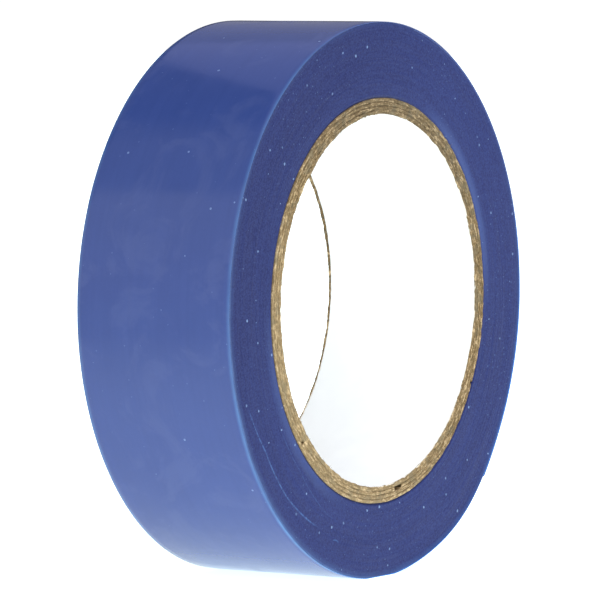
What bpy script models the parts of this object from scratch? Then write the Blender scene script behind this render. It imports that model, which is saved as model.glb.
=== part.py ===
"""Roll of electrical tape: a spiral-wound board core with a wound PVC strip.

Metres, +Z up. The roll stands on its rim. Its axis is +Y, the origin is the
roll's centre, and the front face looks along -Y.

Everything here is sheet stuff wrapped on a round former, so every piece is
made the same way: a flat strip is laid out as columns across its width, bent
round the axis, and given its thickness by Solidify. The columns of all the
layers stand at the same angles, so the layers nest with an even glue line.

The strip is wound as one spiral. Its free end lies low on the +X side, its
last stretch is a chain of short lengths that peel away from the roll about
axes parallel to Y, and the last full turn passes beneath that stretch. Where
the roll stands, the soft strip has settled to a flat 6 mm wide and 0.15 mm deep,
and beside it, below the free end, the turns stand full by up to 0.4 mm.
"""
import math

import bpy
from mathutils import Vector

MM = 0.001

# ---- driving dimensions, millimetres and degrees ----
TAPE_OD = 60.1            # at the free end; 60.0 across, as the spiral runs in
TAPE_WIDTH = 19.0
TAPE_PITCH = 0.133        # one turn of strip, film and adhesive together
LAYER_GAP = 0.015         # air and adhesive between two turns that are separate pieces

BORE_D = 40.0
CORE_OD = 43.6
LINER_THICK = 0.10        # white paper that lines the bore
GLUE_LINE = 0.02          # between two plies of the core
PLY_COUNT = 4
LINER_SETBACK = 0.27      # how far the liner stops short of the core's back edge
LINER_SLANT = 0.11        # the cut is not square: more at the top, less at the foot

SEAM_LEAD = 75.0          # how far round a ply's butt joint runs across the core
# where each ply's butt joint meets the front face, and how wide it stands open
PLY_SEAMS = {1: (98.0, 0.5), 2: (-80.2, 1.6), 3: (-138.5, 0.5), 4: (-27.9, 0.45)}

FREE_END = -43.125        # angle of the strip's free end, from +X towards +Z
LEAD_COUNT = 8            # short lengths in the stretch that peels
LEAD_SPAN = 15.0          # angle that each one covers on the roll
LEAD_CUT = 0.06           # clearance between two of them
END_GAP = 0.06            # clearance at the strip's other cut edges

FOOT_HALF = 5.625         # the roll has settled on a slight flat, this far either side of the foot

SWELL_AT = -53.125        # low on the +X side the wind stands a little full
SWELL_HALF = 25.0
SWELL_RISE = 0.42

FACETS = 96
STEP = 360.0 / FACETS
FIRST = STEP / 2.0        # columns stand either side of the lowest point
# flats a little inside and corners a little outside the true circle, same area
ROUND = math.sqrt((2 * math.pi / FACETS) / math.sin(2 * math.pi / FACETS))

HALF = TAPE_WIDTH / 2.0
FILM = TAPE_PITCH - LAYER_GAP
LEAD_ARC = LEAD_COUNT * LEAD_SPAN


# ---- clean start ----
for old in list(bpy.data.objects):
    bpy.data.objects.remove(old, do_unlink=True)

ROLL = bpy.data.collections.new("electrical_tape_roll")
bpy.context.scene.collection.children.link(ROLL)


# ---- materials ----
def make_material(name, rgb, rough, spec=0.5, coat=0.0):
    mat = bpy.data.materials.new(name)
    mat.use_nodes = True
    shader = mat.node_tree.nodes["Principled BSDF"]
    shader.inputs["Base Color"].default_value = (rgb[0], rgb[1], rgb[2], 1.0)
    shader.inputs["Roughness"].default_value = rough
    shader.inputs["Specular IOR Level"].default_value = spec
    shader.inputs["Coat Weight"].default_value = coat
    mat.diffuse_color = (rgb[0], rgb[1], rgb[2], 1.0)
    return mat


LINER_PAPER = make_material("liner_paper", (0.86, 0.86, 0.84), 0.85, 0.3)
CORE_BOARD = make_material("core_board", (0.42, 0.28, 0.14), 0.9, 0.25)
PVC_FILM = make_material("pvc_film", (0.050, 0.085, 0.29), 0.32)
PVC_WOUND = make_material("pvc_wound", (0.045, 0.060, 0.21), 0.5)


# ---- geometry of the layers ----
def polar(angle, radius):
    """A point on a circle about the roll's axis, millimetres."""
    a = math.radians(angle)
    return Vector((radius * math.cos(a), 0.0, radius * math.sin(a)))


def on_facets(angle, radius_at):
    """The point at an angle on a surface whose corners stand on the columns."""
    k = math.floor((angle - FIRST) / STEP)
    a0 = FIRST + k * STEP
    p0 = polar(a0, radius_at(a0) * ROUND)
    if abs(angle - a0) < 1e-9:
        return p0
    p1 = polar(a0 + STEP, radius_at(a0 + STEP) * ROUND)
    ray = polar(angle, 1.0)
    d = p1 - p0
    s = (p0.x * ray.z - p0.z * ray.x) / (d.z * ray.x - d.x * ray.z)
    return p0 + d * s


def columns(start, end):
    """Column angles from start to end, with the two cut ends included."""
    out = [start]
    k = math.ceil((start - FIRST) / STEP + 1e-6)
    while FIRST + k * STEP < end - 1e-6:
        out.append(FIRST + k * STEP)
        k += 1
    out.append(end)
    return out


def tape_outer(angle):
    """Outside radius of the strip at an angle counted inwards from the free end."""
    radius = TAPE_OD / 2.0 - TAPE_PITCH * (angle - FREE_END) / 360.0
    off_foot = abs((angle + 90.0 + 180.0) % 360.0 - 180.0)
    if off_foot < FOOT_HALF:
        radius *= math.cos(math.radians(FOOT_HALF)) / math.cos(math.radians(off_foot))
    off_swell = abs((angle - SWELL_AT + 180.0) % 360.0 - 180.0)
    if off_swell < SWELL_HALF:
        radius += SWELL_RISE * math.cos(math.radians(90.0 * off_swell / SWELL_HALF)) ** 2
    return radius


def wrap(name, cols, radius_at, thick, mat, centre=(0.0, 0.0, 0.0)):
    """A strip bent round the axis, then thickened outwards.

    cols is a list of (angle, low y, high y). Where the two are equal the
    strip has run out to a point there.
    """
    cx, cy, cz = centre
    verts, rows = [], []
    for angle, lo, hi in cols:
        p = on_facets(angle, radius_at)
        low = len(verts)
        verts.append(((p.x - cx) * MM, (lo - cy) * MM, (p.z - cz) * MM))
        high = low
        if hi - lo > 1e-6:
            high = len(verts)
            verts.append(((p.x - cx) * MM, (hi - cy) * MM, (p.z - cz) * MM))
        rows.append((low, high))
    faces = []
    closed = abs(cols[-1][0] - cols[0][0] - 360.0) < 1e-6
    if closed:
        verts = verts[:rows[-1][0]]
        rows[-1] = rows[0]
    for (a_lo, a_hi), (b_lo, b_hi) in zip(rows, rows[1:]):
        ring = []
        for v in (a_lo, a_hi, b_hi, b_lo):
            if v not in ring:
                ring.append(v)
        faces.append(ring)
    mesh = bpy.data.meshes.new(name)
    mesh.from_pydata(verts, [], faces)
    mesh.update()
    obj = bpy.data.objects.new(name, mesh)
    obj.location = (cx * MM, cy * MM, cz * MM)
    obj.data.materials.append(mat)
    ROLL.objects.link(obj)
    # the sheet is laid on its inner face, so its normals are turned outwards
    face = mesh.polygons[0]
    mid = Vector(face.center) + Vector((cx * MM, 0.0, cz * MM))
    if face.normal.dot(Vector((mid.x, 0.0, mid.z))) < 0:
        mesh.flip_normals()
    skin = obj.modifiers.new("thickness", "SOLIDIFY")
    skin.thickness = thick * MM
    skin.offset = 1.0
    skin.use_even_offset = True
    skin.use_rim = True
    finish(obj)
    return obj


def finish(obj):
    """Round sides shaded smooth, cut edges kept sharp."""
    obj.data.shade_smooth()
    obj.data.set_sharp_from_angle(angle=math.radians(30))


# ---- core ----
def full_ring(lo, hi):
    return [(FIRST + k * STEP, lo, hi) for k in range(FACETS + 1)]


def liner_columns():
    """The liner's back edge slants a little, being cut out of square."""
    out = []
    for k in range(FACETS + 1):
        a = FIRST + (k % FACETS) * STEP
        back = HALF - LINER_SETBACK - LINER_SLANT * math.sin(math.radians(a))
        out.append((FIRST + k * STEP, -HALF, back))
    return out


def ply_columns(seam, gap_deg):
    """One board strip laid on at a slant, so its butt joint is a helix.

    The joint meets the front face at seam and the back face SEAM_LEAD
    further round. Its two edges run between the same columns.
    """
    width = 2.0 * HALF
    start = seam + gap_deg / 2.0
    end = seam + 360.0 + SEAM_LEAD - gap_deg / 2.0
    cols = []
    for a in sorted(set(columns(start, end)
                        + columns(start + SEAM_LEAD, end - SEAM_LEAD))):
        hi = -HALF + width * min(1.0, (a - start) / SEAM_LEAD)
        lo = -HALF + width * max(0.0, (a - (end - SEAM_LEAD)) / SEAM_LEAD)
        cols.append((a, lo, min(HALF, hi)))
    return cols


liner = wrap("core_liner", liner_columns(), lambda a: BORE_D / 2.0,
             LINER_THICK, LINER_PAPER)

ply_thick = ((CORE_OD - BORE_D) / 2.0 - LINER_THICK) / PLY_COUNT - GLUE_LINE
for n in range(1, PLY_COUNT + 1):
    inner = BORE_D / 2.0 + LINER_THICK + n * GLUE_LINE + (n - 1) * ply_thick
    seam, open_mm = PLY_SEAMS[n]
    gap = math.degrees(open_mm / inner)
    wrap("core_ply_%d" % n, ply_columns(seam, gap),
         lambda a, r=inner: r, ply_thick, CORE_BOARD)


# ---- wound strip ----
def tape_pack():
    """All the turns beneath the last one, as a ring with a spiral outside.

    Its outside drops by one pitch where the last turn runs down onto it.
    """
    inner = CORE_OD / 2.0 + GLUE_LINE
    start = FREE_END + LEAD_ARC + 360.0
    verts, outline = [], []
    for k in range(FACETS):
        a = start + k * STEP
        pin = polar(a, inner * ROUND)
        pout = polar(a, tape_outer(a) * ROUND)
        outline.append((len(verts), len(verts) + 1))
        verts.append((pin.x * MM, -HALF * MM, pin.z * MM))
        verts.append((pout.x * MM, -HALF * MM, pout.z * MM))
    step = polar(start, tape_outer(start + 360.0) * ROUND)
    low = len(verts)
    verts.append((step.x * MM, -HALF * MM, step.z * MM))
    faces = []
    for k in range(FACETS):
        a_in, a_out = outline[k]
        b_in, b_out = outline[(k + 1) % FACETS]
        if k == 0:
            faces.append((a_in, low, a_out, b_out, b_in))
        elif k == FACETS - 1:
            faces.append((a_in, a_out, low, b_in))
        else:
            faces.append((a_in, a_out, b_out, b_in))
    mesh = bpy.data.meshes.new("tape_pack")
    mesh.from_pydata(verts, [], faces)
    mesh.update()
    obj = bpy.data.objects.new("tape_pack", mesh)
    obj.data.materials.append(PVC_WOUND)
    ROLL.objects.link(obj)
    if mesh.polygons[1].normal.y > 0:
        mesh.flip_normals()
    skin = obj.modifiers.new("width", "SOLIDIFY")
    skin.thickness = TAPE_WIDTH * MM
    skin.offset = -1.0
    skin.use_rim = True
    finish(obj)
    return obj


tape_pack()


def strip_inner(angle):
    return tape_outer(angle) - FILM


def stretch(first, last):
    return [(a, -HALF, HALF) for a in columns(first, last)]


end_deg = math.degrees(END_GAP / (TAPE_OD / 2.0))
cut_deg = math.degrees(LEAD_CUT / (TAPE_OD / 2.0)) / 2.0
root = FREE_END + LEAD_ARC

wrap("tape_outer_turn", stretch(root + cut_deg, root + 360.0 - end_deg),
     strip_inner, FILM, PVC_FILM)

# the free stretch, from its root at the top down to the free end; each length
# has its origin on the axis it turns about, mid-way through the film
for n in range(1, LEAD_COUNT + 1):
    hinge = root - (n - 1) * LEAD_SPAN
    tip = hinge - LEAD_SPAN
    pivot = polar(hinge, (tape_outer(hinge) - FILM / 2.0) * ROUND)
    wrap("tape_lead_%d" % n, stretch(tip + cut_deg, hinge - cut_deg),
         strip_inner, FILM, PVC_FILM, centre=(pivot.x, 0.0, pivot.z))
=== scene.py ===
import math

import bpy
import numpy as np
from mathutils import Matrix, Vector

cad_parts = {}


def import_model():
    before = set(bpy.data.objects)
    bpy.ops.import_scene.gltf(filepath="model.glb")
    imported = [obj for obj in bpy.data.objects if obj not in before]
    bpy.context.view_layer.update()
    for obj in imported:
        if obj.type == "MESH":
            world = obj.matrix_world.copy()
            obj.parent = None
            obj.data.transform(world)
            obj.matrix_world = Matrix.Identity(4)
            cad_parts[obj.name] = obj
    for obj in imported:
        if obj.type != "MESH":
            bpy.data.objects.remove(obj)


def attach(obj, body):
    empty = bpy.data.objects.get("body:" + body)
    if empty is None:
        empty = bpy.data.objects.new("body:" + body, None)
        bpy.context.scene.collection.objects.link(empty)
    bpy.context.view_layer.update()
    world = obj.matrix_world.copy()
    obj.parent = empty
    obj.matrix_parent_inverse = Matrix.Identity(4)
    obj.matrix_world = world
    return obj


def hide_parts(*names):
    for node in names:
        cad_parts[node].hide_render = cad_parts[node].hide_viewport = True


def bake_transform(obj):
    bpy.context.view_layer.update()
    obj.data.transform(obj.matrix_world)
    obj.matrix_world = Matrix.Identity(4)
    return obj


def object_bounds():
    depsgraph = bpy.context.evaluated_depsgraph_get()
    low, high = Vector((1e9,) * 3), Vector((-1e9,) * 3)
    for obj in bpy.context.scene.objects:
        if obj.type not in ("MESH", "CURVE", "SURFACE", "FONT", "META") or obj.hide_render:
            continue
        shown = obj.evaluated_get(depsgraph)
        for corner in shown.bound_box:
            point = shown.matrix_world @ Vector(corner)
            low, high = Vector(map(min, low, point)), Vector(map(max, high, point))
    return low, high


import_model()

cad_lo, cad_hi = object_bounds()
MM = 0.001

# ---- the roll's own dimensions, as in the CAD, millimetres and degrees ----
OUTER = 30.05             # radius at the free end
PITCH = 0.133
FILM = 0.118
HALF = 9.5
FREE_END = -43.125
LEADS = 8
SPAN = 15.0
ROOT = LEADS * SPAN       # angle from the free end back to where the lead is rooted
LAP_END = ROOT + 360.0    # where the last full turn runs down into the pack
CORE_R = 21.8
BORE_R = 20.0
FOOT = -cad_lo.z / MM     # how far below the axis the settled foot lies
LINER_THICK = 0.10
GLUE = 0.02
PLIES = 4
SEAM_LEAD = 75.0
SWELL_AT, SWELL_HALF, SWELL_RISE = -53.125, 25.0, 0.42
PLY_SEAMS = {1: (98.0, 0.5), 2: (-80.2, 1.6), 3: (-138.5, 0.5), 4: (-27.9, 0.45)}


# ---------------------------------------------------------------- noise
def _hash(ix, iy, iz, seed):
    """A fixed scramble of whole numbers to 0..1."""
    with np.errstate(over="ignore"):
        h = (ix.astype(np.uint32) * np.uint32(374761393)
             + iy.astype(np.uint32) * np.uint32(668265263)
             + iz.astype(np.uint32) * np.uint32(2147483647)
             + np.uint32((seed * 144665) & 0xFFFFFFFF))
        h = (h ^ (h >> np.uint32(13))) * np.uint32(1274126177)
        h = h ^ (h >> np.uint32(16))
    return (h & np.uint32(0xFFFFFF)).astype(float) / float(0xFFFFFF)


def noise(x, y=0.0, z=0.0, seed=1):
    """Smooth value noise, -1..1, on arrays."""
    x, y, z = np.broadcast_arrays(np.asarray(x, float), np.asarray(y, float), np.asarray(z, float))
    fx, fy, fz = np.floor(x), np.floor(y), np.floor(z)
    ux, uy, uz = x - fx, y - fy, z - fz
    ux, uy, uz = [u * u * u * (u * (u * 6 - 15) + 10) for u in (ux, uy, uz)]
    ix, iy, iz = [f.astype(np.int64) + 40000 for f in (fx, fy, fz)]
    total = 0.0
    for dx in (0, 1):
        for dy in (0, 1):
            for dz in (0, 1):
                w = (ux if dx else 1 - ux) * (uy if dy else 1 - uy) * (uz if dz else 1 - uz)
                total = total + w * _hash(ix + dx, iy + dy, iz + dz, seed)
    return 2 * total - 1


def fbm(x, y=0.0, z=0.0, seed=1, octaves=3):
    total, amp, norm, k = 0.0, 1.0, 0.0, 1.0
    for o in range(octaves):
        total = total + amp * noise(np.asarray(x) * k, np.asarray(y) * k, np.asarray(z) * k, seed + 7 * o)
        norm += amp
        amp *= 0.5
        k *= 2.03
    return total / norm


def smooth(a, b, t):
    u = np.clip((np.asarray(t, float) - a) / (b - a), 0, 1)
    return u * u * (3 - 2 * u)


# ---------------------------------------------------------------- the spiral
def arc_length(phi):
    """Length of strip, mm, from the free end to an angle."""
    p = np.radians(phi)
    return OUTER * p - PITCH / (4 * math.pi) * p * p


def settle(theta, radius, depth):
    """Layers pressed up at the foot and full beside it, less and less with depth."""
    off = np.radians((theta + 90.0 + 180.0) % 360.0 - 180.0)
    top = OUTER - PITCH * 313.125 / 360.0
    x = np.where(np.abs(off) < 0.4, top - FOOT / np.cos(np.clip(off, -0.4, 0.4)), -1.0)
    push = 0.5 * (x + np.sqrt(x * x + 0.012 ** 2))
    push = np.where(np.abs(off) < 0.3, push, 0.0)
    away = np.abs((np.asarray(theta, float) - SWELL_AT + 180.0) % 360.0 - 180.0)
    swell = np.where(away < SWELL_HALF, SWELL_RISE * np.cos(np.radians(90.0 * np.minimum(away / SWELL_HALF, 1))) ** 2, 0.0)
    depth = np.maximum(depth, 0)
    return radius - push * np.exp(-depth / 1.5) + swell * np.exp(-depth / 4.0)


def r_out(phi):
    """Outside of the strip at an angle from the free end."""
    phi = np.asarray(phi, float)
    r = OUTER - PITCH * phi / 360.0
    return settle(FREE_END + phi, r, PITCH * np.maximum(0, np.floor(phi / 360.0)))


def place(theta, radius, y):
    t = np.radians(theta)
    return np.stack(np.broadcast_arrays(radius * np.cos(t), y, radius * np.sin(t)), -1) * MM


# ---------------------------------------------------------------- meshes
def make_object(name, verts, faces, mats, sharp=32.0, uvs=None, mat_index=None):
    mesh = bpy.data.meshes.new(name)
    mesh.from_pydata([tuple(v) for v in np.asarray(verts, float)], [], faces)
    mesh.update()
    for m in mats:
        mesh.materials.append(m)
    if mat_index is not None:
        mesh.polygons.foreach_set("material_index", np.asarray(mat_index, np.int32))
    if uvs is not None:
        layer = mesh.uv_layers.new(name="strip")
        loop_v = np.zeros(len(mesh.loops), np.int32)
        mesh.loops.foreach_get("vertex_index", loop_v)
        layer.data.foreach_set("uv", np.asarray(uvs, np.float32)[loop_v].ravel())
    mesh.shade_smooth()
    mesh.set_sharp_from_angle(angle=math.radians(sharp))
    obj = bpy.data.objects.new(name, mesh)
    bpy.context.scene.collection.objects.link(obj)
    return obj


def face_out(obj, outward):
    """Turns a closed mesh's faces outwards, judged on one face."""
    mesh = obj.data
    p = mesh.polygons[0]
    if p.normal.dot(outward(p.center)) < 0:
        mesh.flip_normals()


def tube_of_loops(loops, closed_ring, cap=True):
    """Faces between successive loops of M points each; loops is (N, M, 3)."""
    n, m = loops.shape[:2]
    faces = []
    last = n if closed_ring else n - 1
    for i in range(last):
        a, b = i * m, ((i + 1) % n) * m
        for j in range(m):
            k = (j + 1) % m
            faces.append((a + j, a + k, b + k, b + j))
    if cap and not closed_ring:
        faces.append(tuple(reversed(range(m))))
        faces.append(tuple((n - 1) * m + j for j in range(m)))
    return faces


# ---------------------------------------------------------------- node helpers
class Tree:
    def __init__(self, name):
        self.mat = bpy.data.materials.new(name)
        self.mat.use_nodes = True
        self.t = self.mat.node_tree
        self.bsdf = self.t.nodes["Principled BSDF"]

    def node(self, kind, **props):
        n = self.t.nodes.new(kind)
        for k, v in props.items():
            setattr(n, k, v)
        return n

    def link(self, a, b):
        self.t.links.new(a, b)

    def put(self, socket, value):
        if isinstance(value, (int, float)):
            socket.default_value = value
        elif isinstance(value, tuple):
            socket.default_value = value
        else:
            self.link(value, socket)

    def math(self, op, a, b=None, c=None, clamp=False):
        n = self.node("ShaderNodeMath", operation=op, use_clamp=clamp)
        self.put(n.inputs[0], a)
        if b is not None:
            self.put(n.inputs[1], b)
        if c is not None:
            self.put(n.inputs[2], c)
        return n.outputs[0]

    def noise(self, vec, scale, detail=2.0, rough=0.5, dist=0.0):
        n = self.node("ShaderNodeTexNoise")
        self.link(vec, n.inputs["Vector"])
        n.inputs["Scale"].default_value = scale
        n.inputs["Detail"].default_value = detail
        n.inputs["Roughness"].default_value = rough
        n.inputs["Distortion"].default_value = dist
        return n.outputs["Fac"]

    def cells(self, vec, scale, feature="F1", rnd=1.0):
        n = self.node("ShaderNodeTexVoronoi", feature=feature, voronoi_dimensions="2D")
        self.link(vec, n.inputs["Vector"])
        n.inputs["Scale"].default_value = scale
        n.inputs["Randomness"].default_value = rnd
        return n

    def ramp(self, fac, lo, hi, out_lo=0.0, out_hi=1.0, kind="SMOOTHSTEP"):
        n = self.node("ShaderNodeMapRange", interpolation_type=kind)
        self.put(n.inputs["Value"], fac)
        n.inputs["From Min"].default_value = lo
        n.inputs["From Max"].default_value = hi
        n.inputs["To Min"].default_value = out_lo
        n.inputs["To Max"].default_value = out_hi
        return n.outputs["Result"]

    def mix(self, fac, a, b):
        n = self.node("ShaderNodeMix", data_type="RGBA")
        self.put(n.inputs[0], fac)
        for s, v in ((n.inputs[6], a), (n.inputs[7], b)):
            if isinstance(v, tuple):
                s.default_value = (v[0], v[1], v[2], 1.0)
            else:
                self.link(v, s)
        return n.outputs[2]

    def combine(self, x, y, z):
        n = self.node("ShaderNodeCombineXYZ")
        for s, v in zip(n.inputs, (x, y, z)):
            self.put(s, v)
        return n.outputs[0]

    def split(self, vec):
        n = self.node("ShaderNodeSeparateXYZ")
        self.link(vec, n.inputs[0])
        return n.outputs[0], n.outputs[1], n.outputs[2]

    def object_mm(self):
        """Object coordinates in millimetres."""
        tc = self.node("ShaderNodeTexCoord")
        n = self.node("ShaderNodeVectorMath", operation="SCALE")
        self.link(tc.outputs["Object"], n.inputs[0])
        n.inputs["Scale"].default_value = 1000.0
        return n.outputs[0]

    def bump(self, height, strength, distance_mm, normal=None):
        n = self.node("ShaderNodeBump")
        n.inputs["Strength"].default_value = strength
        n.inputs["Distance"].default_value = distance_mm * MM
        self.link(height, n.inputs["Height"])
        if normal is not None:
            self.link(normal, n.inputs["Normal"])
        return n.outputs["Normal"]


# ---------------------------------------------------------------- materials
def film_material(name, base, deep, speck, rough):
    """Smooth PVC film: even colour, fine lengthwise streaks, dust."""
    t = Tree(name)
    uv = t.node("ShaderNodeUVMap", uv_map="strip").outputs[0]
    u, v, _ = t.split(uv)
    # u and v are millimetres / 100; the adhesive side has v above 0.5
    side = t.math("GREATER_THAN", v, 0.5)
    u_mm = t.math("MULTIPLY", u, 100.0)
    v_mm = t.math("MULTIPLY", v, 100.0)
    flat = t.combine(u_mm, v_mm, 0.0)
    streak = t.noise(t.combine(t.math("MULTIPLY", u_mm, 0.03), v_mm, 3.0), 1.3, 4.0, 0.6)
    cloud = t.noise(flat, 0.16, 3.0, 0.55)
    grain = t.noise(flat, 3.2, 3.0, 0.6)
    fac = t.math("ADD", t.math("MULTIPLY", streak, 0.35), t.math("MULTIPLY", cloud, 0.45))
    fac = t.math("ADD", fac, t.math("MULTIPLY", grain, 0.20))
    col = t.mix(t.ramp(fac, 0.32, 0.68), deep, base)
    # dust: a few specks, of mixed size
    dots = t.cells(flat, 0.16)
    size = t.ramp(t.split(dots.outputs["Color"])[0], 0.45, 1.0, 0.0, 0.024, "LINEAR")
    spot = t.math("LESS_THAN", dots.outputs["Distance"], size)
    fine = t.cells(flat, 0.55)
    fsize = t.ramp(t.split(fine.outputs["Color"])[1], 0.72, 1.0, 0.0, 0.045, "LINEAR")
    fspot = t.math("LESS_THAN", fine.outputs["Distance"], fsize)
    dust = t.math("MAXIMUM", t.math("MULTIPLY", spot, 0.60), t.math("MULTIPLY", fspot, 0.22))
    dust = t.math("MULTIPLY", dust, t.math("SUBTRACT", 1.0, side))
    col = t.mix(dust, col, speck)
    # painted highlight: a paler line along both cut edges, strongest low down and fainter over the upper right,
    # standing in for light let through the thin film
    edge = t.ramp(t.math("ABSOLUTE", v_mm), 8.98, 9.42)
    edge_noise = t.ramp(t.noise(t.combine(u_mm, 0.0, 7.0), 0.35, 3.0, 0.6), 0.3, 0.75, 0.60, 1.0)
    around = t.math("ADD", t.math("DIVIDE", u_mm, 29.97), math.radians(FREE_END))
    low = t.ramp(t.math("SINE", around), 0.15, -0.80, 0.50, 1.0)
    over = t.math("COSINE", t.math("SUBTRACT", around, math.radians(62.0)))
    edge = t.math("MULTIPLY", t.math("MULTIPLY", edge, edge_noise), t.math("MULTIPLY", low, t.ramp(over, 0.40, 0.88, 1.0, 0.12)))
    edge = t.math("MULTIPLY", edge, t.math("SUBTRACT", 1.0, side))
    col = t.mix(edge, col, (0.080, 0.190, 0.420))
    # painted light: the cut edge itself is painted a bright deep blue low on the right, standing in for light coming
    # through the film
    cut = t.ramp(t.math("ABSOLUTE", v_mm), 9.42, 9.455)
    painted_glow_low_right = t.ramp(t.math("COSINE", t.math("SUBTRACT", around, math.radians(-45.0))), 0.35, 0.85, 0.0, 0.85)
    cut = t.math("MULTIPLY", t.math("MULTIPLY", cut, painted_glow_low_right), t.math("SUBTRACT", 1.0, side))
    col = t.mix(cut, col, (0.035, 0.240, 0.780))
    # adhesive side: duller and greyer
    col = t.mix(t.math("MULTIPLY", side, 0.55), col, (0.030, 0.045, 0.15))
    marks = t.noise(flat, 0.11, 4.0, 0.62, 1.4)
    mark = t.math("MULTIPLY", t.ramp(marks, 0.50, 0.66), t.math("SUBTRACT", 1.0, side))
    col = t.mix(t.math("MULTIPLY", mark, 0.16), col, (0.10, 0.13, 0.30))
    t.link(col, t.bsdf.inputs["Base Color"])
    r = t.ramp(cloud, 0.3, 0.7, rough - 0.03, rough + 0.05)
    r = t.math("ADD", r, t.math("MULTIPLY", mark, 0.06))
    r = t.math("ADD", r, t.math("MULTIPLY", dust, 0.3))
    t.link(r, t.bsdf.inputs["Roughness"])
    t.bsdf.inputs["IOR"].default_value = 1.46
    h = t.math("ADD", t.math("MULTIPLY", grain, 0.4), t.math("MULTIPLY", streak, 0.6))
    t.link(t.bump(h, 0.25, 0.012), t.bsdf.inputs["Normal"])
    return t.mat


def polar_parts(t):
    """(x, y, z, radius, cos, sin) in millimetres from object coordinates."""
    p = t.object_mm()
    x, y, z = t.split(p)
    r = t.math("SQRT", t.math("ADD", t.math("MULTIPLY", x, x), t.math("MULTIPLY", z, z)))
    return p, x, y, z, r, t.math("DIVIDE", x, r), t.math("DIVIDE", z, r)


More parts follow.
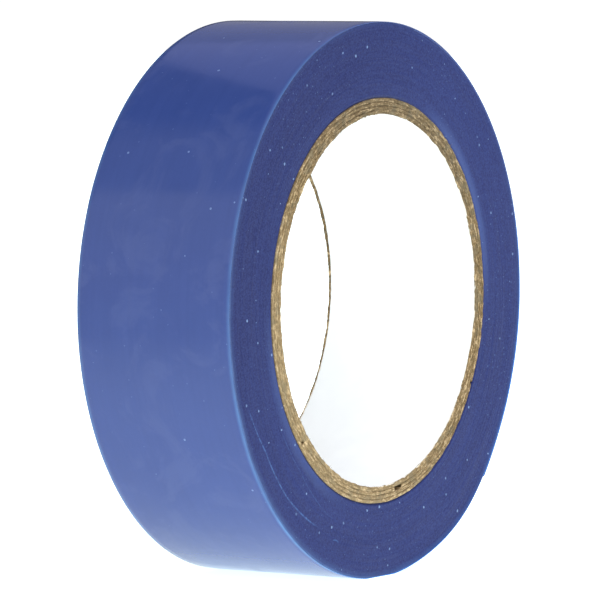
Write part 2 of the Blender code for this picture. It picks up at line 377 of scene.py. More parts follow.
def wound_material():
    """Cut edges of the wound turns: satin, faintly ringed, dusty, a little scuffed, with painted shade and painted
    highlights.
    """
    t = Tree("pvc_wound_edges")
    p, x, y, z, r, c, s = polar_parts(t)
    ringed = t.combine(t.math("MULTIPLY", c, 2.2), t.math("MULTIPLY", r, 3.2), t.math("MULTIPLY", s, 2.2))
    rings = t.noise(ringed, 1.0, 5.0, 0.62)
    broad = t.noise(t.combine(t.math("MULTIPLY", c, 1.4), t.math("MULTIPLY", r, 0.55), t.math("MULTIPLY", s, 1.4)), 1.0, 2.0, 0.5)
    grain = t.noise(p, 2.6, 4.0, 0.65)
    fac = t.math("ADD", t.math("MULTIPLY", rings, 0.20), t.math("MULTIPLY", broad, 0.3))
    fac = t.math("ADD", fac, t.math("MULTIPLY", grain, 0.50))
    col = t.mix(t.ramp(fac, 0.33, 0.68), (0.0142, 0.0192, 0.098), (0.0210, 0.0311, 0.138))
    # painted shade: a little deeper in tone high on the left
    painted_shade_high_left = t.math("ADD", t.math("MULTIPLY", c, -0.766), t.math("MULTIPLY", s, 0.643))
    col = t.mix(t.ramp(painted_shade_high_left, 0.05, 0.80, 0.0, 0.27), col, (0.006, 0.006, 0.045))
    # painted highlight: paler towards the outer edge of the face, weaker over the top and deep blue on the right,
    # standing in for light on the outer corner and through the thin film
    aim = t.math("ADD", t.math("MULTIPLY", c, math.cos(math.radians(SWELL_AT))), t.math("MULTIPLY", s, math.sin(math.radians(SWELL_AT))))
    full = t.ramp(t.math("ARCCOSINE", t.math("MINIMUM", aim, 0.99999)), 0.0, math.radians(SWELL_HALF), SWELL_RISE, 0.0)
    rim_r = t.math("SUBTRACT", t.math("SUBTRACT", r, full), t.ramp(c, -0.2, 0.5, 0.0, 0.13))
    rim_highlight = t.math("ADD", t.ramp(rim_r, 29.55, 29.85, 0.0, 0.8), t.ramp(rim_r, 28.9, 29.6, 0.0, 0.25))
    rim_highlight = t.math("MULTIPLY", rim_highlight, t.ramp(s, -0.50, 0.80, 1.0, 0.12))
    rim_highlight = t.math("MULTIPLY", rim_highlight, t.ramp(t.noise(t.combine(t.math("MULTIPLY", c, 9.0), 0.0, t.math("MULTIPLY", s, 9.0)), 1.0, 4.0, 0.6), 0.3, 0.7, 0.55, 1.0))
    rim_highlight_colour = t.mix(t.ramp(c, -0.15, 0.40), (0.095, 0.175, 0.390), (0.026, 0.150, 0.480))
    col = t.mix(rim_highlight, col, rim_highlight_colour)
    # painted shade: a dark line just outside the core, fainter on the upper right
    inner = t.math("SUBTRACT", 1.0, t.ramp(r, 21.90, 22.06))
    upright = t.math("ADD", t.math("MULTIPLY", c, 0.866), t.math("MULTIPLY", s, 0.5))
    inner = t.math("MULTIPLY", inner, t.ramp(upright, 0.40, 0.90, 0.85, 0.10))
    col = t.mix(inner, col, (0.014, 0.017, 0.060))
    # painted highlight: the first turns are painted paler on the upper right and low on the left, where light catches
    # them
    first = t.math("MULTIPLY", t.ramp(r, 21.85, 22.10), t.math("SUBTRACT", 1.0, t.ramp(r, 22.20, 23.70)))
    painted_light_low_left = t.math("ADD", t.math("MULTIPLY", c, -0.819), t.math("MULTIPLY", s, -0.574))
    where = t.math("MAXIMUM", t.ramp(upright, 0.78, 0.99, 0.06, 1.0), t.ramp(painted_light_low_left, 0.75, 0.99, 0.0, 0.75))
    col = t.mix(t.math("MULTIPLY", t.math("MULTIPLY", first, where), 0.50), col, (0.080, 0.125, 0.320))
    # a scuff that runs along the turns low on the left, a fainter one inside it, and a curl
    ang = t.math("MODULO", t.math("ADD", t.math("DEGREES", t.math("ARCTAN2", z, x)), 360.0), 360.0)
    front = t.math("LESS_THAN", y, 0.0)
    line = t.math("ADD", t.ramp(ang, 200.0, 212.0, 28.10, 27.20, "LINEAR"), t.ramp(ang, 226.0, 242.0, 0.0, -0.65, "LINEAR"))
    off = t.math("ABSOLUTE", t.math("SUBTRACT", r, line))
    span = t.math("MULTIPLY", t.ramp(ang, 200.0, 203.0), t.math("SUBTRACT", 1.0, t.ramp(ang, 236.0, 243.0)))
    patch = t.ramp(t.noise(t.combine(ang, 0.0, 3.0), 0.80, 5.0, 0.75), 0.38, 0.60, 0.10, 1.0)
    scuff = t.math("MULTIPLY", t.math("MULTIPLY", t.math("SUBTRACT", 1.0, t.ramp(off, 0.03, 0.13)), span), patch)
    line2 = t.math("ADD", 23.55, t.ramp(ang, 226.0, 244.0, 0.0, 1.1, "LINEAR"))
    off2 = t.math("ABSOLUTE", t.math("SUBTRACT", r, line2))
    span2 = t.math("MULTIPLY", t.ramp(ang, 208.0, 214.0), t.math("SUBTRACT", 1.0, t.ramp(ang, 240.0, 250.0)))
    scuff2 = t.math("MULTIPLY", t.math("MULTIPLY", t.math("SUBTRACT", 1.0, t.ramp(off2, 0.02, 0.10)), span2), t.math("MULTIPLY", patch, 0.35))
    dx, dz = t.math("ADD", x, 9.5), t.math("ADD", z, 25.6)
    loop = t.math("SQRT", t.math("ADD", t.math("MULTIPLY", t.math("MULTIPLY", dx, dx), 0.42), t.math("MULTIPLY", dz, dz)))
    curl = t.math("SUBTRACT", 1.0, t.ramp(t.math("ABSOLUTE", t.math("SUBTRACT", loop, 0.62)), 0.02, 0.10))
    curl = t.math("MULTIPLY", curl, t.ramp(t.noise(p, 0.9, 2.0, 0.5), 0.42, 0.52, 0.0, 0.7))
    scuffs = t.math("MAXIMUM", t.math("MAXIMUM", scuff, scuff2), curl)
    col = t.mix(t.math("MULTIPLY", t.math("MULTIPLY", scuffs, front), 0.75), col, (0.085, 0.180, 0.430))
    # dust and nicks
    plane = t.combine(t.math("ADD", x, t.math("MULTIPLY", y, 7.0)), z, 0.0)
    dots = t.cells(plane, 0.42)
    size = t.ramp(t.split(dots.outputs["Color"])[0], 0.40, 1.0, 0.0, 0.078, "LINEAR")
    spot = t.ramp(t.math("SUBTRACT", size, dots.outputs["Distance"]), 0.0, 0.02)
    fine = t.cells(plane, 1.5)
    fsize = t.ramp(t.split(fine.outputs["Color"])[1], 0.45, 1.0, 0.0, 0.15, "LINEAR")
    fspot = t.ramp(t.math("SUBTRACT", fsize, fine.outputs["Distance"]), 0.0, 0.08)
    crowd = t.ramp(t.noise(t.combine(c, 0.0, s), 1.6, 2.0, 0.5), 0.40, 0.62, 0.30, 1.0)
    bright = t.ramp(t.split(dots.outputs["Color"])[2], 0.0, 1.0, 0.35, 1.0, "LINEAR")
    dust = t.math("MAXIMUM", t.math("MULTIPLY", spot, bright), t.math("MULTIPLY", t.math("MULTIPLY", fspot, crowd), 0.42))
    tooth = t.noise(p, 5.2, 2.0, 0.6)
    col = t.mix(t.ramp(tooth, 0.35, 0.65, 0.0, 0.36), col, (0.035, 0.054, 0.170))
    col = t.mix(t.ramp(tooth, 0.50, 0.30, 0.0, 0.30), col, (0.012, 0.014, 0.072))
    col = t.mix(dust, col, (0.17, 0.25, 0.44))
    t.link(col, t.bsdf.inputs["Base Color"])
    t.link(t.ramp(rings, 0.3, 0.7, 0.44, 0.60), t.bsdf.inputs["Roughness"])
    t.bsdf.inputs["IOR"].default_value = 1.46
    t.bsdf.inputs["Specular IOR Level"].default_value = 0.13
    h = t.math("ADD", t.math("MULTIPLY", rings, 0.22), t.math("MULTIPLY", grain, 0.78))
    t.link(t.bump(h, 0.4, 0.02), t.bsdf.inputs["Normal"])
    return t.mat


def board_material():
    """Grey-brown core board with matted fibres, seen mostly on its cut ends."""
    t = Tree("core_board_cut")
    p, x, y, z, r, c, s = polar_parts(t)
    # the fibres run round the ring: stretch the pattern that way
    along = t.combine(t.math("MULTIPLY", c, 46.0), t.math("MULTIPLY", r, 7.0), t.math("MULTIPLY", s, 46.0))
    mat1 = t.noise(along, 1.0, 5.0, 0.68, 0.6)
    mat2 = t.noise(p, 3.0, 4.0, 0.7)
    fine = t.noise(p, 9.0, 3.0, 0.6)
    wavy = t.noise(t.combine(t.math("MULTIPLY", c, 17.0), t.math("MULTIPLY", r, 3.4), t.math("MULTIPLY", s, 17.0)), 1.0, 3.0, 0.55, 0.7)
    fac = t.math("ADD", t.math("MULTIPLY", mat1, 0.40), t.math("MULTIPLY", mat2, 0.28))
    fac = t.math("ADD", fac, t.math("MULTIPLY", wavy, 0.32))
    col = t.mix(t.ramp(fac, 0.36, 0.50), (0.042, 0.024, 0.010), (0.225, 0.147, 0.065))
    col = t.mix(t.ramp(fac, 0.49, 0.60), col, (0.600, 0.442, 0.255))
    col = t.mix(t.ramp(fine, 0.56, 0.70, 0.0, 0.75), col, (0.050, 0.037, 0.025))
    col = t.mix(t.ramp(t.noise(p, 1.1, 2.0, 0.5), 0.50, 0.66, 0.0, 0.55), col, (0.150, 0.127, 0.080))
    # dark lines where the layers part, wandering round the ring
    parting = t.ramp(t.math("ABSOLUTE", t.math("SUBTRACT", wavy, 0.49)), 0.004, 0.030, 1.0, 0.0)
    patchy = t.ramp(t.noise(t.combine(t.math("MULTIPLY", c, 5.0), t.math("MULTIPLY", r, 1.5), t.math("MULTIPLY", s, 5.0)), 1.0, 2.0, 0.5), 0.38, 0.62, 0.25, 0.75)
    col = t.mix(t.math("MULTIPLY", parting, patchy), col, (0.060, 0.040, 0.022))
    # paler low on the left, darker and greyer over the top
    pale = t.ramp(t.math("ADD", t.math("MULTIPLY", c, -0.72), t.math("MULTIPLY", s, -0.69)), -0.4, 1.0, 0.0, 0.20)
    col = t.mix(pale, col, (0.64, 0.48, 0.27))
    dull = t.ramp(t.math("ADD", t.math("MULTIPLY", c, 0.259), t.math("MULTIPLY", s, 0.966)), 0.30, 1.0, 0.0, 0.30)
    col = t.mix(dull, col, (0.105, 0.085, 0.060))
    t.link(col, t.bsdf.inputs["Base Color"])
    t.bsdf.inputs["Roughness"].default_value = 0.92
    t.bsdf.inputs["Specular IOR Level"].default_value = 0.2
    h = t.math("ADD", t.math("MULTIPLY", fac, 0.7), t.math("MULTIPLY", fine, 0.3))
    t.link(t.bump(h, 0.8, 0.09), t.bsdf.inputs["Normal"])
    return t.mat


def liner_material():
    """White paper with a soft tooth."""
    t = Tree("liner_paper_white")
    p, x, y, z, r, c, s = polar_parts(t)
    tooth = t.noise(p, 2.2, 4.0, 0.6)
    cloud = t.noise(p, 0.35, 3.0, 0.5)
    col = t.mix(t.ramp(cloud, 0.3, 0.7), (0.905, 0.905, 0.90), (0.925, 0.925, 0.92))
    edge = t.ramp(t.math("ABSOLUTE", t.math("ADD", y, t.ramp(tooth, 0.0, 1.0, -0.15, 0.15))), 9.22, 9.45)
    col = t.mix(t.math("MULTIPLY", edge, 0.5), col, (0.62, 0.50, 0.33))
    t.link(col, t.bsdf.inputs["Base Color"])
    t.bsdf.inputs["Roughness"].default_value = 0.8
    t.bsdf.inputs["Specular IOR Level"].default_value = 0.25
    t.link(t.bump(tooth, 0.3, 0.02), t.bsdf.inputs["Normal"])
    return t.mat


FILM_MAT = film_material("pvc_film_outer", (0.0375, 0.067, 0.238), (0.033, 0.060, 0.219), (0.20, 0.30, 0.56), 0.125)
WOUND_MAT = wound_material()
BOARD_MAT = board_material()
LINER_MAT = liner_material()


# ---------------------------------------------------------------- the wound turns
def corner_recess(depth):
    """How far a turn's edge stands back where the outer corner is rounded."""
    rc = 0.20
    d = np.clip(rc - np.asarray(depth, float), 0, rc * 0.999)
    return rc - np.sqrt(rc * rc - d * d)


def edge_y(phi, radius, side):
    """Where a turn's cut edge stands on one face, before the groove between turns."""
    s = arc_length(phi)
    seed = 11 if side < 0 else 23
    wander = 0.0045 * noise(s / 38.0, 0.0, 0.0, seed) + 0.002 * noise(s / 5.5, 0.0, 0.0, seed + 1)
    group = 0.005 * noise(radius / 0.62, 4.0, 0.0, seed + 2)
    theta = np.radians(FREE_END + phi)
    lie = 0.020 * noise(np.cos(theta) * 1.3, np.sin(theta) * 1.3, radius / 2.2, seed + 3)
    first = 0.045 * (1 - smooth(21.93, 22.10, radius))
    return side * (HALF - corner_recess(OUTER + 0.02 - radius) - first + wander + group + lie - 0.02)


def wound_turns():
    nc, turns, per = 192, 59, 3
    step = 360.0 / nc
    share = [0.0, 0.30, 0.72]            # across one turn, from its outside in
    groove = [0.005, 0.0, 0.001]
    rows = turns * per
    cols = np.arange(nc)
    verts, index = [], {}

    def radius_at(row, col):
        k, j = divmod(row, per)
        phi = LAP_END + 360.0 * k + step * col
        return phi, OUTER - PITCH * phi / 360.0 - PITCH * share[j]

    blocks = {}
    for side in (-1, 1):
        for row in range(rows + per + 1):
            col = cols if row <= rows else cols[:1]
            phi, r = radius_at(row, col)
            j = row % per
            y = edge_y(phi, r, side) - side * groove[j]
            r = settle(FREE_END + phi, r, OUTER - r)
            blocks[(side, row)] = len(verts)
            verts.extend(place(FREE_END + phi, r, y))
        ring = place(FREE_END + LAP_END + step * cols, CORE_R + 0.02, side * (HALF - 0.12))
        blocks[(side, "ring")] = len(verts)
        verts.extend(ring)

    def at(side, row, col):
        if col == nc:
            return blocks[(side, row + per)]
        return blocks[(side, row)] + col

    def ring_at(side, col):
        return blocks[(side, "ring")] + col % nc

    faces = []
    for side in (-1, 1):
        def add(f):
            faces.append(tuple(f) if side < 0 else tuple(reversed(f)))
        for row in range(rows):
            for col in range(nc):
                add((at(side, row, col), at(side, row, col + 1), at(side, row + 1, col + 1), at(side, row + 1, col)))
        for col in range(nc):
            a, b = at(side, rows, col), at(side, rows, col + 1)
            if col == 0:
                extra = [at(side, rows + j, 0) for j in (1, 2, 3)]
                add([a, b, ring_at(side, 1), ring_at(side, 0)] + list(reversed(extra)))
            else:
                add((a, b, ring_at(side, col + 1), ring_at(side, col)))
    # outside, inside, and the step that the last turn butts against
    for col in range(nc):
        faces.append((at(-1, 0, col), at(1, 0, col), at(1, 0, col + 1), at(-1, 0, col + 1)))
        faces.append((ring_at(-1, col), ring_at(-1, col + 1), ring_at(1, col + 1), ring_at(1, col)))
    for j in range(per):
        faces.append((at(-1, j, 0), at(-1, j + 1, 0), at(1, j + 1, 0), at(1, j, 0)))
    obj = make_object("wound_turns", verts, faces, [WOUND_MAT], sharp=60)
    face_out(obj, lambda c: Vector((0, -1 if c.y < 0 else 1, 0)))
    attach(obj, "roll")
    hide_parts("tape_pack")
    return obj


# ---------------------------------------------------------------- the film
def film_wave(phi, y):
    """Radial unevenness of the film's surface, mm."""
    s = arc_length(phi)
    wave = 0.010 * noise(s / 9.0, y / 11.0, 0.0, 41)
    wave = wave + 0.0035 * noise(s / 3.2, y / 4.5, 0.0, 42)
    wave = wave + 0.004 * noise(s / 60.0, y / 1.9, 0.0, 43)
    return wave


def film_strip(name, first, last, lift=None, step=0.9375, tongue=0.0):
    """A length of the strip between two angles from the free end, as a closed band.
    A tongue, a hair thinner, runs on into the next piece so that no gap opens."""
    n = max(2, int(math.ceil((last - first) / step)) + 1)
    phi = np.linspace(first, last, n)
    slim = np.zeros(n)
    if tongue:
        phi = np.concatenate([phi, [last, last + tongue]])
        slim = np.concatenate([slim, [1.0, 1.0]])
    s = arc_length(phi)
    theta = FREE_END + phi
    base = r_out(phi)
    hw = {sd: HALF - 0.030 + 0.014 * noise(s / 38.0, 0.0, 0.0, 51 if sd < 0 else 52)
          + 0.008 * noise(s / 4.0, 0.0, 0.0, 53 if sd < 0 else 54) for sd in (-1, 1)}
    across = np.linspace(-1, 1, 27)
    back = np.linspace(1, -1, 9)
    loops, uv = [], []
    drop_edge = [(0.030, 0.000), (0.008, 0.014), (0.0, 0.042), (0.0, 0.078), (0.008, 0.104)]
    cols = []
    for f in across:                     # outer side, front edge to back edge
        y = np.where(f < 0, f * (hw[-1] - 0.030), f * (hw[1] - 0.030))
        droop = 0.014 * smooth(0.965, 1.0, abs(f))
        cols.append((y, base + film_wave(phi, y) * (1 - smooth(0.93, 1.0, abs(f))) - droop, y, 0.0))
    for dy, dr in drop_edge[1:]:
        cols.append((hw[1] - dy, base - 0.014 - dr * 0.85, hw[1] - dy, 0.0))
    for f in back:
        y = np.where(f < 0, f * (hw[-1] - 0.030), f * (hw[1] - 0.030))
        cols.append((y, base - FILM + 0.0 * y, y, 1.0))
    for dy, dr in reversed(drop_edge[1:]):
        cols.append((-(hw[-1] - dy), base - 0.014 - dr * 0.85, -(hw[-1] - dy), 0.0))
    if lift is not None:
        up = lift(phi)
    else:
        up = 0.0
    middle = base - FILM / 2
    pts = np.stack([place(theta, r + up + 0.14 * slim * (middle - r), y * (1 - 0.0009 * slim)) for y, r, _, _ in cols], 1)
    uvs = np.stack([np.stack([s / 100.0, v / 100.0 + side], -1) for _, _, v, side in cols], 1)
    m = len(cols)
    faces = tube_of_loops(pts, False)
    obj = make_object(name, pts.reshape(-1, 3), faces, [FILM_MAT], sharp=50, uvs=uvs.reshape(-1, 2))
    face_out(obj, lambda c: Vector((c.x, 0, c.z)))
    return obj


def at_phi(phi):
    r = float(r_out(phi)) - FILM / 2
    return Vector(place(FREE_END + phi, r, 0.0))


def film_pieces():
    turn = film_strip("last_turn_film", ROOT, LAP_END - 0.12)
    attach(turn, "roll")
    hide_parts("tape_outer_turn")
    half = SPAN / 2
    for n in range(1, LEADS + 1):
        hinge = ROOT - (n - 1) * SPAN
        start = hinge if n == 1 else hinge + half
        end = hinge - half
        piece = film_strip("lead_film_%d" % n, end, start, step=0.5, tongue=0.0 if n == 1 else 0.25)
        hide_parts("tape_lead_%d" % n)
        pivot = at_phi(hinge)
        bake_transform(piece)
    tip = film_strip("lead_film_tip", 0.0, half, step=0.5,
                     lift=lambda phi: 0.02 * (1 - smooth(0.0, 5.0, phi)))
    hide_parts("tape_lead_%d" % LEADS)
    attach(tip, "lead_%d" % LEADS)


# ---------------------------------------------------------------- the core
def ply(n):
    thick = (CORE_R - BORE_R - LINER_THICK) / PLIES - GLUE
    inner = BORE_R + LINER_THICK + n * GLUE + (n - 1) * thick
    seam, open_mm = PLY_SEAMS[n]
    gap = math.degrees(open_mm / inner)
    start = seam + gap / 2
    end = seam + 360.0 + SEAM_LEAD - gap / 2
    count = int((end - start) / 0.5)
    a = np.linspace(start, end, count + 1)
    width = 2 * HALF
    hi = np.minimum(HALF, -HALF + width * np.clip((a - start) / SEAM_LEAD, 0, 1))
    lo = -HALF + width * np.clip((a - (end - SEAM_LEAD)) / SEAM_LEAD, 0, 1)
    hi = np.maximum(hi, lo + 0.02)
    arc = np.radians(a) * inner
    ca, sa = np.cos(np.radians(a)), np.sin(np.radians(a))
    shares = [0.0, 0.10, 0.30, 0.52, 0.74, 0.91, 1.0]
    round_off = [0.085, 0.022, 0.0, 0.0, 0.0, 0.022, 0.085]

    def end_rows(side):
        limit = lo if side < 0 else hi
        free = smooth(0.0, 0.5, HALF - np.abs(limit))       # 1 along the butt joint, 0 at the cut end
        rows = []
        for f, ro in zip(shares, round_off):
            r = inner + thick * f
            seed = 60 + n * 9 + (0 if side < 0 else 4)
            rough = (0.045 * noise(ca * r / 0.55, sa * r / 0.55, r / 0.22, seed)
                     + 0.030 * noise(ca * r / 0.24, sa * r / 0.24, r / 0.16, seed + 1)
                     + 0.030 * noise(ca * r / 2.5, sa * r / 2.5, 0.0, seed + 2))
            ease = ro * (1.0 if side < 0 else 0.4) * (1.0 + 0.9 * noise(ca * r / 1.3, sa * r / 1.3, f * 3.0, seed + 3))
            proud = (0.045 if side < 0 else 0.16) + rough - ease
            y = limit + side * proud * (1 - free)
            rad = r + 0.020 * noise(ca * r / 0.4, sa * r / 0.4, 9.0, seed + 5)
            if n == 1 and f == 0.0:      # frayed edge at the bore
                fray = fbm(ca * r / 0.9, sa * r / 0.9, 0.0, seed + 6)
                rad = rad - 0.10 - 0.085 * np.clip(fray, -0.6, 1)
            if n == PLIES and f >= 0.7:
                # the outer ply tucks in just past its butt joint
                tuck = 0.17 * np.exp(-np.clip((seam - gap / 2) % 360.0 - (a % 360.0), 0, 400) / 9.0)
                tuck = np.where(((seam - gap / 2) % 360.0 - (a % 360.0)) >= 0, tuck, 0.0)
                rad = rad - tuck * (0.5 if f < 1 else 1.0) * (side < 0)
            if n == 1 and f == 1.0 and side < 0:
                # the pocket between the first two plies, and the crack that trails from it
                d = (a + 78.5 + 180.0) % 360.0 - 180.0
                rad = rad - 0.16 * np.exp(-(d / 3.0) ** 2) - 0.055 * smooth(-18, -3, d) * (1 - smooth(-3, 8, d))
            rows.append(place(a, rad, y))
        return rows

    front, back = end_rows(-1), end_rows(1)
    inset = np.minimum(0.30, 0.45 * (hi - lo))
    near, far = lo + inset, hi - inset
    outside = [place(a, inner + thick, near), place(a, inner + thick, far)]
    inside = [place(a, inner, far), place(a, inner, near)]
    loops = np.stack(front + outside + list(reversed(back)) + inside, 1)
    faces = tube_of_loops(loops, False)
    obj = make_object("core_board_%d" % n, loops.reshape(-1, 3), faces, [BOARD_MAT], sharp=75)
    face_out(obj, lambda c: Vector((0, -1, 0)))
    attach(obj, "roll")
    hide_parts("core_ply_%d" % n)
    return obj


def bore_liner():
    n = 720
    a = np.arange(n) * 360.0 / n
    ca, sa = np.cos(np.radians(a)), np.sin(np.radians(a))
    ragged = 0.05 * noise(ca * BORE_R / 0.45, sa * BORE_R / 0.45, 0.0, 91) + 0.03 * noise(ca * BORE_R / 1.6, sa * BORE_R / 1.6, 0.0, 92)
    ragged2 = 0.05 * noise(ca * BORE_R / 0.45, sa * BORE_R / 0.45, 5.0, 93) + 0.04 * noise(ca * BORE_R / 2.1, sa * BORE_R / 2.1, 0.0, 94)
    lo = -HALF + 0.05 + ragged
    hi = HALF - 0.19 - 0.22 * sa + 0.6 * ragged2
    r_in = BORE_R + 0.012 * noise(ca * 6, sa * 6, 0.0, 95)
    fr = [0.0, 0.02, 0.15, 0.32, 0.5, 0.68, 0.85, 0.98, 1.0]
    rows = []
    for f in fr:
        y = lo + (hi - lo) * f
        rows.append(place(a, r_in + 0.006 * noise(ca * 14, sa * 14, y / 5.0, 96) + (0.02 if f in (0.0, 1.0) else 0.0), y))
    for f in (1.0, 0.5, 0.0):
        y = lo + (hi - lo) * f
        rows.append(place(a, BORE_R + LINER_THICK, y))
    loops = np.stack(rows, 1)
    faces = tube_of_loops(loops, True)
    obj = make_object("bore_lining", loops.reshape(-1, 3), faces, [LINER_MAT], sharp=50)
    p = min(obj.data.polygons, key=lambda q: abs(q.center.y))
    k = [q for q in obj.data.polygons if math.hypot(q.center.x, q.center.z) < (BORE_R + 0.05) * MM and abs(q.center.y) < 0.004][0]
    if k.normal.dot(Vector((k.center.x, 0, k.center.z))) > 0:
        obj.data.flip_normals()
    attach(obj, "roll")
    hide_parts("core_liner")
    return obj


def fibres():
    """Loose fibres of board that stand out of the knife-cut ends, mostly at the bore."""
    rng = np.random.default_rng(7)
    verts, faces = [], []

    def hair(p, d, length, rad, bend):
        d = d / np.linalg.norm(d)
        ref = np.array([0.0, 1.0, 0.0]) if abs(d[1]) < 0.9 else np.array([1.0, 0.0, 0.0])
        u = np.cross(d, ref)
        u /= np.linalg.norm(u)
        w = np.cross(d, u)
        base = len(verts)
        segs = 4
        for i in range(segs):
            f = i / segs
            centre = p + d * length * f + bend * (f * f) * length
            rr = rad * (1 - 0.75 * f)
            for k in range(3):
                ang = 2 * math.pi * k / 3
                verts.append(centre + rr * (u * math.cos(ang) + w * math.sin(ang)))
        verts.append(p + d * length + bend * length)
        for i in range(segs - 1):
            for k in range(3):
                k2 = (k + 1) % 3
                faces.append((base + i * 3 + k, base + i * 3 + k2, base + (i + 1) * 3 + k2, base + (i + 1) * 3 + k))
        tip = base + segs * 3
        for k in range(3):
            faces.append((base + (segs - 1) * 3 + k, base + (segs - 1) * 3 + (k + 1) % 3, tip))
        faces.append((base + 2, base + 1, base))

    for side, count in ((-1, 420), (1, 420)):
        for i in range(count):
            th = rng.uniform(0, 2 * math.pi)
            at_bore = rng.random() < 0.72
            r = BORE_R + 0.12 + abs(rng.normal(0, 0.10)) if at_bore else rng.uniform(BORE_R + 0.2, CORE_R - 0.1)
            radial = np.array([math.cos(th), 0, math.sin(th)])
            tang = np.array([-math.sin(th), 0, math.cos(th)])
            axis = np.array([0, float(side), 0])
            if at_bore:
                d = -radial * rng.uniform(0.25, 0.9) + tang * rng.normal(0, 0.9) + axis * rng.uniform(-0.1, 0.25)
            else:
                d = radial * rng.normal(0, 0.3) + tang * rng.normal(0, 1.0) + axis * rng.uniform(0.05, 0.3)
            p = radial * r + axis * (HALF + (0.0 if side < 0 else 0.12) + rng.uniform(0, 0.05))
            length = rng.uniform(0.18, 0.52) if at_bore else rng.uniform(0.2, 0.6)
            if at_bore:
                length = min(length, 0.42)
            bend = tang * rng.normal(0, 0.3) + axis * rng.normal(0, 0.08)
            hair(p, d, length, rng.uniform(0.014, 0.032), bend)
    obj = make_object("core_fibres", np.array(verts) * MM, faces, [BOARD_MAT], sharp=80)
    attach(obj, "roll")
    return obj


wound_turns()
film_pieces()
for number in range(1, PLIES + 1):
    ply(number)
bore_liner()
fibres()


# ---------------------------------------------------------------- the studio
def emission_material(name, strength, colour=(1, 1, 1)):
    mat = bpy.data.materials.new(name)
    mat.use_nodes = True
    nt = mat.node_tree
    nt.nodes.clear()
    out = nt.nodes.new("ShaderNodeOutputMaterial")
    em = nt.nodes.new("ShaderNodeEmission")
    em.inputs["Color"].default_value = (*colour, 1)
    em.inputs["Strength"].default_value = strength
    nt.links.new(em.outputs[0], out.inputs["Surface"])
    return mat


def floor():
    size = 3.0
    z = cad_lo.z - 0.00002
    mesh = bpy.data.meshes.new("floor")
    mesh.from_pydata([(-size, -size, z), (size, -size, z), (size, size, z), (-size, size, z)], [], [(0, 1, 2, 3)])
    obj = bpy.data.objects.new("floor", mesh)
    bpy.context.scene.collection.objects.link(obj)
    mat = bpy.data.materials.new("pale_floor")
    mat.use_nodes = True
    nt = mat.node_tree
    bsdf = nt.nodes["Principled BSDF"]
    bsdf.inputs["Base Color"].default_value = (0.9, 0.9, 0.9, 1)
    bsdf.inputs["Roughness"].default_value = 1.0
    bsdf.inputs["Specular IOR Level"].default_value = 0.0
    bsdf.inputs["Emission Color"].default_value = (0.88, 1.05, 1.055, 1)
    tc = nt.nodes.new("ShaderNodeTexCoord")
    sep = nt.nodes.new("ShaderNodeSeparateXYZ")
    nt.links.new(tc.outputs["Object"], sep.inputs[0])

    def ramp(v, lo, hi, a, b):
        n = nt.nodes.new("ShaderNodeMapRange")
        n.interpolation_type = "SMOOTHSTEP"
        nt.links.new(v, n.inputs["Value"])
        for key, val in zip(("From Min", "From Max", "To Min", "To Max"), (lo, hi, a, b)):
            n.inputs[key].default_value = val
        return n.outputs["Result"]

    def m(op, a, b):
        n = nt.nodes.new("ShaderNodeMath")
        n.operation = op
        for socket, v in zip(n.inputs, (a, b)):
            if isinstance(v, float):
                socket.default_value = v
            else:
                nt.links.new(v, socket)
        return n.outputs[0]

    # a lit table: brightest before the roll, softer behind it to the left
    before = ramp(sep.outputs[1], 0.03, -0.10, 0.0, FLOOR_FRONT)
    behind = m("MULTIPLY", ramp(sep.outputs[1], -0.022, 0.032, 0.0, 1.0), ramp(sep.outputs[0], -0.035, -0.15, 0.0, FLOOR_DIP))
    glow = m("SUBTRACT", m("ADD", before, FLOOR_L), behind)
    nt.links.new(glow, bsdf.inputs["Emission Strength"])
    mesh.materials.append(mat)


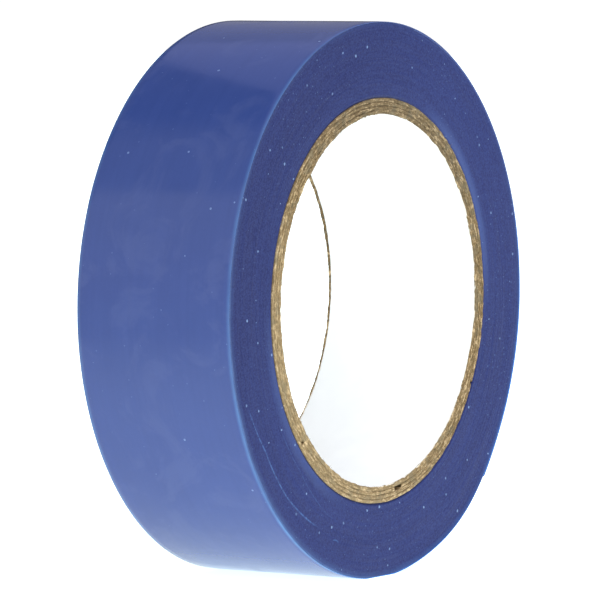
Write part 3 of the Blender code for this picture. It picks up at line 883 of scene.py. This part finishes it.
def world():
    w = bpy.data.worlds.new("studio")
    bpy.context.scene.world = w
    w.use_nodes = True
    nt = w.node_tree
    nt.nodes.clear()
    out = nt.nodes.new("ShaderNodeOutputWorld")
    bg = nt.nodes.new("ShaderNodeBackground")
    white = nt.nodes.new("ShaderNodeBackground")
    white.inputs["Color"].default_value = (1, 1, 1, 1)
    white.inputs["Strength"].default_value = 1.05
    mixer = nt.nodes.new("ShaderNodeMixShader")
    path = nt.nodes.new("ShaderNodeLightPath")
    nt.links.new(path.outputs["Is Camera Ray"], mixer.inputs[0])
    nt.links.new(bg.outputs[0], mixer.inputs[1])
    nt.links.new(white.outputs[0], mixer.inputs[2])
    nt.links.new(mixer.outputs[0], out.inputs[0])
    tc = nt.nodes.new("ShaderNodeTexCoord")
    sep = nt.nodes.new("ShaderNodeSeparateXYZ")
    nt.links.new(tc.outputs["Generated"], sep.inputs[0])
    X, Y, Z = sep.outputs

    def m(op, a, b=None, c=None):
        n = nt.nodes.new("ShaderNodeMath")
        n.operation = op
        for s, v in zip(n.inputs, (a, b, c)):
            if v is None:
                continue
            if isinstance(v, (int, float)):
                s.default_value = v
            else:
                nt.links.new(v, s)
        return n.outputs[0]

    def ss(v, lo, hi, a=0.0, b=1.0):
        n = nt.nodes.new("ShaderNodeMapRange")
        n.interpolation_type = "SMOOTHSTEP"
        nt.links.new(v, n.inputs["Value"])
        n.inputs["From Min"].default_value = lo
        n.inputs["From Max"].default_value = hi
        n.inputs["To Min"].default_value = a
        n.inputs["To Max"].default_value = b
        return n.outputs["Result"]

    # angle in the XZ plane above the horizon on the left: 0 left, 90 straight up, 180 right
    ang = m("DEGREES", m("ARCTAN2", Z, m("MULTIPLY", X, -1.0)))
    low = m("SUBTRACT", 1.0, ss(ang, LEFT_TOP - 2.0, LEFT_TOP + 2.5))
    high = m("SUBTRACT", 1.0, ss(ang, 66.0, 84.0))
    left_band = m("ADD", m("MULTIPLY", low, 0.58), m("MULTIPLY", high, 0.42))
    behind = ss(Y, -0.15, 0.20)
    # behind the roll: lit low on the left, dark overhead, dim to the right
    right = ss(ang, 84.0, 104.0)
    back_light = m("ADD", m("MULTIPLY", left_band, LEFT_L), m("MULTIPLY", right, RIGHT_L))
    back_light = m("ADD", back_light, DARK_L)
    # before the roll: one big soft light, high and to the left
    k = KEY_DIR
    dot = m("ADD", m("ADD", m("MULTIPLY", X, k[0]), m("MULTIPLY", Y, k[1])), m("MULTIPLY", Z, k[2]))
    key = m("MULTIPLY", ss(dot, 0.35, 0.95), KEY_L)
    front_light = m("ADD", key, FRONT_L)
    total = m("ADD", m("MULTIPLY", back_light, behind), m("MULTIPLY", front_light, m("SUBTRACT", 1.0, behind)))
    comb = nt.nodes.new("ShaderNodeCombineColor")
    for s in comb.inputs[:3]:
        nt.links.new(total, s)
    nt.links.new(comb.outputs[0], bg.inputs["Color"])
    bg.inputs["Strength"].default_value = 1.0


LEFT_TOP = 46.0
LEFT_L = 0.93
RIGHT_L = 0.04
DARK_L = 0.03
FRONT_L = 0.38
KEY_L = 1.28
KEY_DIR = tuple(Vector((-0.42, -0.58, 0.70)).normalized())
FLOOR_L, FLOOR_FRONT, FLOOR_DIP = 0.95, 0.30, 0.62



def overhead_card(name, start, length, radiance, colour):
    """A soft panel above and behind, whose edge runs slantwise over the roll."""
    along = Vector((0.868, 0.497, 0.0)).normalized()
    across = Vector((0.497, -0.868, 0.0)).normalized()
    width = 0.25
    centre = Vector((-0.0068, 0.071, 0.150)) + along * (start + length / 2) + across * (width / 2)
    light = bpy.data.lights.new(name, "AREA")
    light.shape = "RECTANGLE"
    light.size, light.size_y = length, width
    light.color = colour
    light.energy = math.pi * length * width * radiance
    obj = bpy.data.objects.new(name, light)
    x, y = along, Vector((0, 0, 1)).cross(along) * -1.0
    z = x.cross(y)
    if z.z < 0:
        y, z = -y, -z
    obj.matrix_world = Matrix((x, y, z)).transposed().to_4x4()
    obj.location = centre
    obj.visible_camera = False
    bpy.context.scene.collection.objects.link(obj)


floor()
world()
overhead_card("card_near", -0.10, 0.22, 0.43, (0.87, 0.90, 1.42))
overhead_card("card_far", 0.12, 0.80, 0.24, (0.93, 0.93, 1.15))

scene = bpy.context.scene
scene.view_settings.view_transform = "Standard"
scene.view_settings.look = "None"
scene.view_settings.exposure = 0.0
scene.view_settings.gamma = 1.0

# ---------------------------------------------------------------- the camera
AZ, EL = math.radians(-57.74), math.radians(3.58)
FOCAL_PX = 5287.6
back = Vector((math.sin(AZ) * math.cos(EL), -math.cos(AZ) * math.cos(EL), math.sin(EL)))
right = Vector((math.cos(AZ), math.sin(AZ), 0.0))
up = back.cross(right)
where = (-0.682 * right - 0.229 * up + 573.36 * back) * MM
cam_data = bpy.data.cameras.new("camera")
cam_data.sensor_width = 36.0
cam_data.lens = FOCAL_PX * 36.0 / 600.0
cam_data.clip_start, cam_data.clip_end = 0.01, 20.0
cam = bpy.data.objects.new("camera", cam_data)
cam.matrix_world = Matrix((right, up, back)).transposed().to_4x4()
cam.location = where
scene.collection.objects.link(cam)
scene.camera = cam
